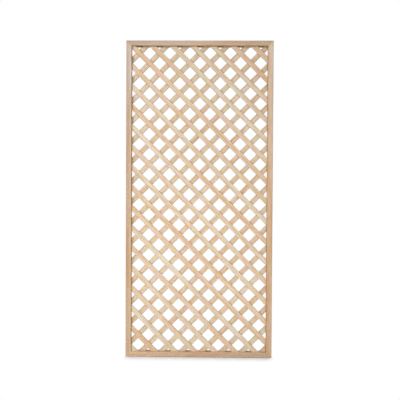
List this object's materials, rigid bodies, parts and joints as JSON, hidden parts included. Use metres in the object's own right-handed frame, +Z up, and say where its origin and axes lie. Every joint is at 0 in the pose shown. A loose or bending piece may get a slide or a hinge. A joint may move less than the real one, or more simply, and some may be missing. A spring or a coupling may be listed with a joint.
{
  "type": "lattice panel",
  "caption": "Tall framed garden lattice panel: a mitred, grooved wooden frame round two crossed layers of diagonal slats that leave diamond openings.",
  "frame": {"origin": "middle of the bottom edge, halfway through the thickness", "axes": "+Z up along the height, +X to the right along the width as seen from the front, the front faces -Y"},
  "size_m": [0.834, 0.0348, 1.8],
  "materials": {
    "frame_wood": "planed, untreated, matt",
    "front_slat_wood": "sawn and lightly sanded, untreated, matt",
    "back_slat_wood": "sawn and lightly sanded, untreated, matt",
    "nail_steel": "bright wire"
  },
  "bodies": {
    "root": {"back_slat_01": "back_slat_wood", "back_slat_02": "back_slat_wood", "back_slat_03": "back_slat_wood", "back_slat_04": "back_slat_wood", "back_slat_05": "back_slat_wood", "back_slat_06": "back_slat_wood", "back_slat_07": "back_slat_wood", "back_slat_08": "back_slat_wood", "back_slat_09": "back_slat_wood", "back_slat_10": "back_slat_wood", "back_slat_11": "back_slat_wood", "back_slat_12": "back_slat_wood", "back_slat_13": "back_slat_wood", "back_slat_14": "back_slat_wood", "back_slat_15": "back_slat_wood", "back_slat_16": "back_slat_wood", "back_slat_17": "back_slat_wood", "back_slat_18": "back_slat_wood", "back_slat_19": "back_slat_wood", "back_slat_20": "back_slat_wood", "back_slat_21": "back_slat_wood", "back_slat_22": "back_slat_wood", "bottom_rail": "frame_wood", "front_slat_01": "front_slat_wood", "front_slat_02": "front_slat_wood", "front_slat_03": "front_slat_wood", "front_slat_04": "front_slat_wood", "front_slat_05": "front_slat_wood", "front_slat_06": "front_slat_wood", "front_slat_07": "front_slat_wood", "front_slat_08": "front_slat_wood", "front_slat_09": "front_slat_wood", "front_slat_10": "front_slat_wood", "front_slat_11": "front_slat_wood", "front_slat_12": "front_slat_wood", "front_slat_13": "front_slat_wood", "front_slat_14": "front_slat_wood", "front_slat_15": "front_slat_wood", "front_slat_16": "front_slat_wood", "front_slat_17": "front_slat_wood", "front_slat_18": "front_slat_wood", "front_slat_19": "front_slat_wood", "front_slat_20": "front_slat_wood", "front_slat_21": "front_slat_wood", "front_slat_22": "front_slat_wood", "left_stile": "frame_wood", "nail_bottom_left": "nail_steel", "nail_bottom_right": "nail_steel", "nail_top_left": "nail_steel", "nail_top_right": "nail_steel", "right_stile": "frame_wood", "top_rail": "frame_wood"}
  },
  "joints": []
}
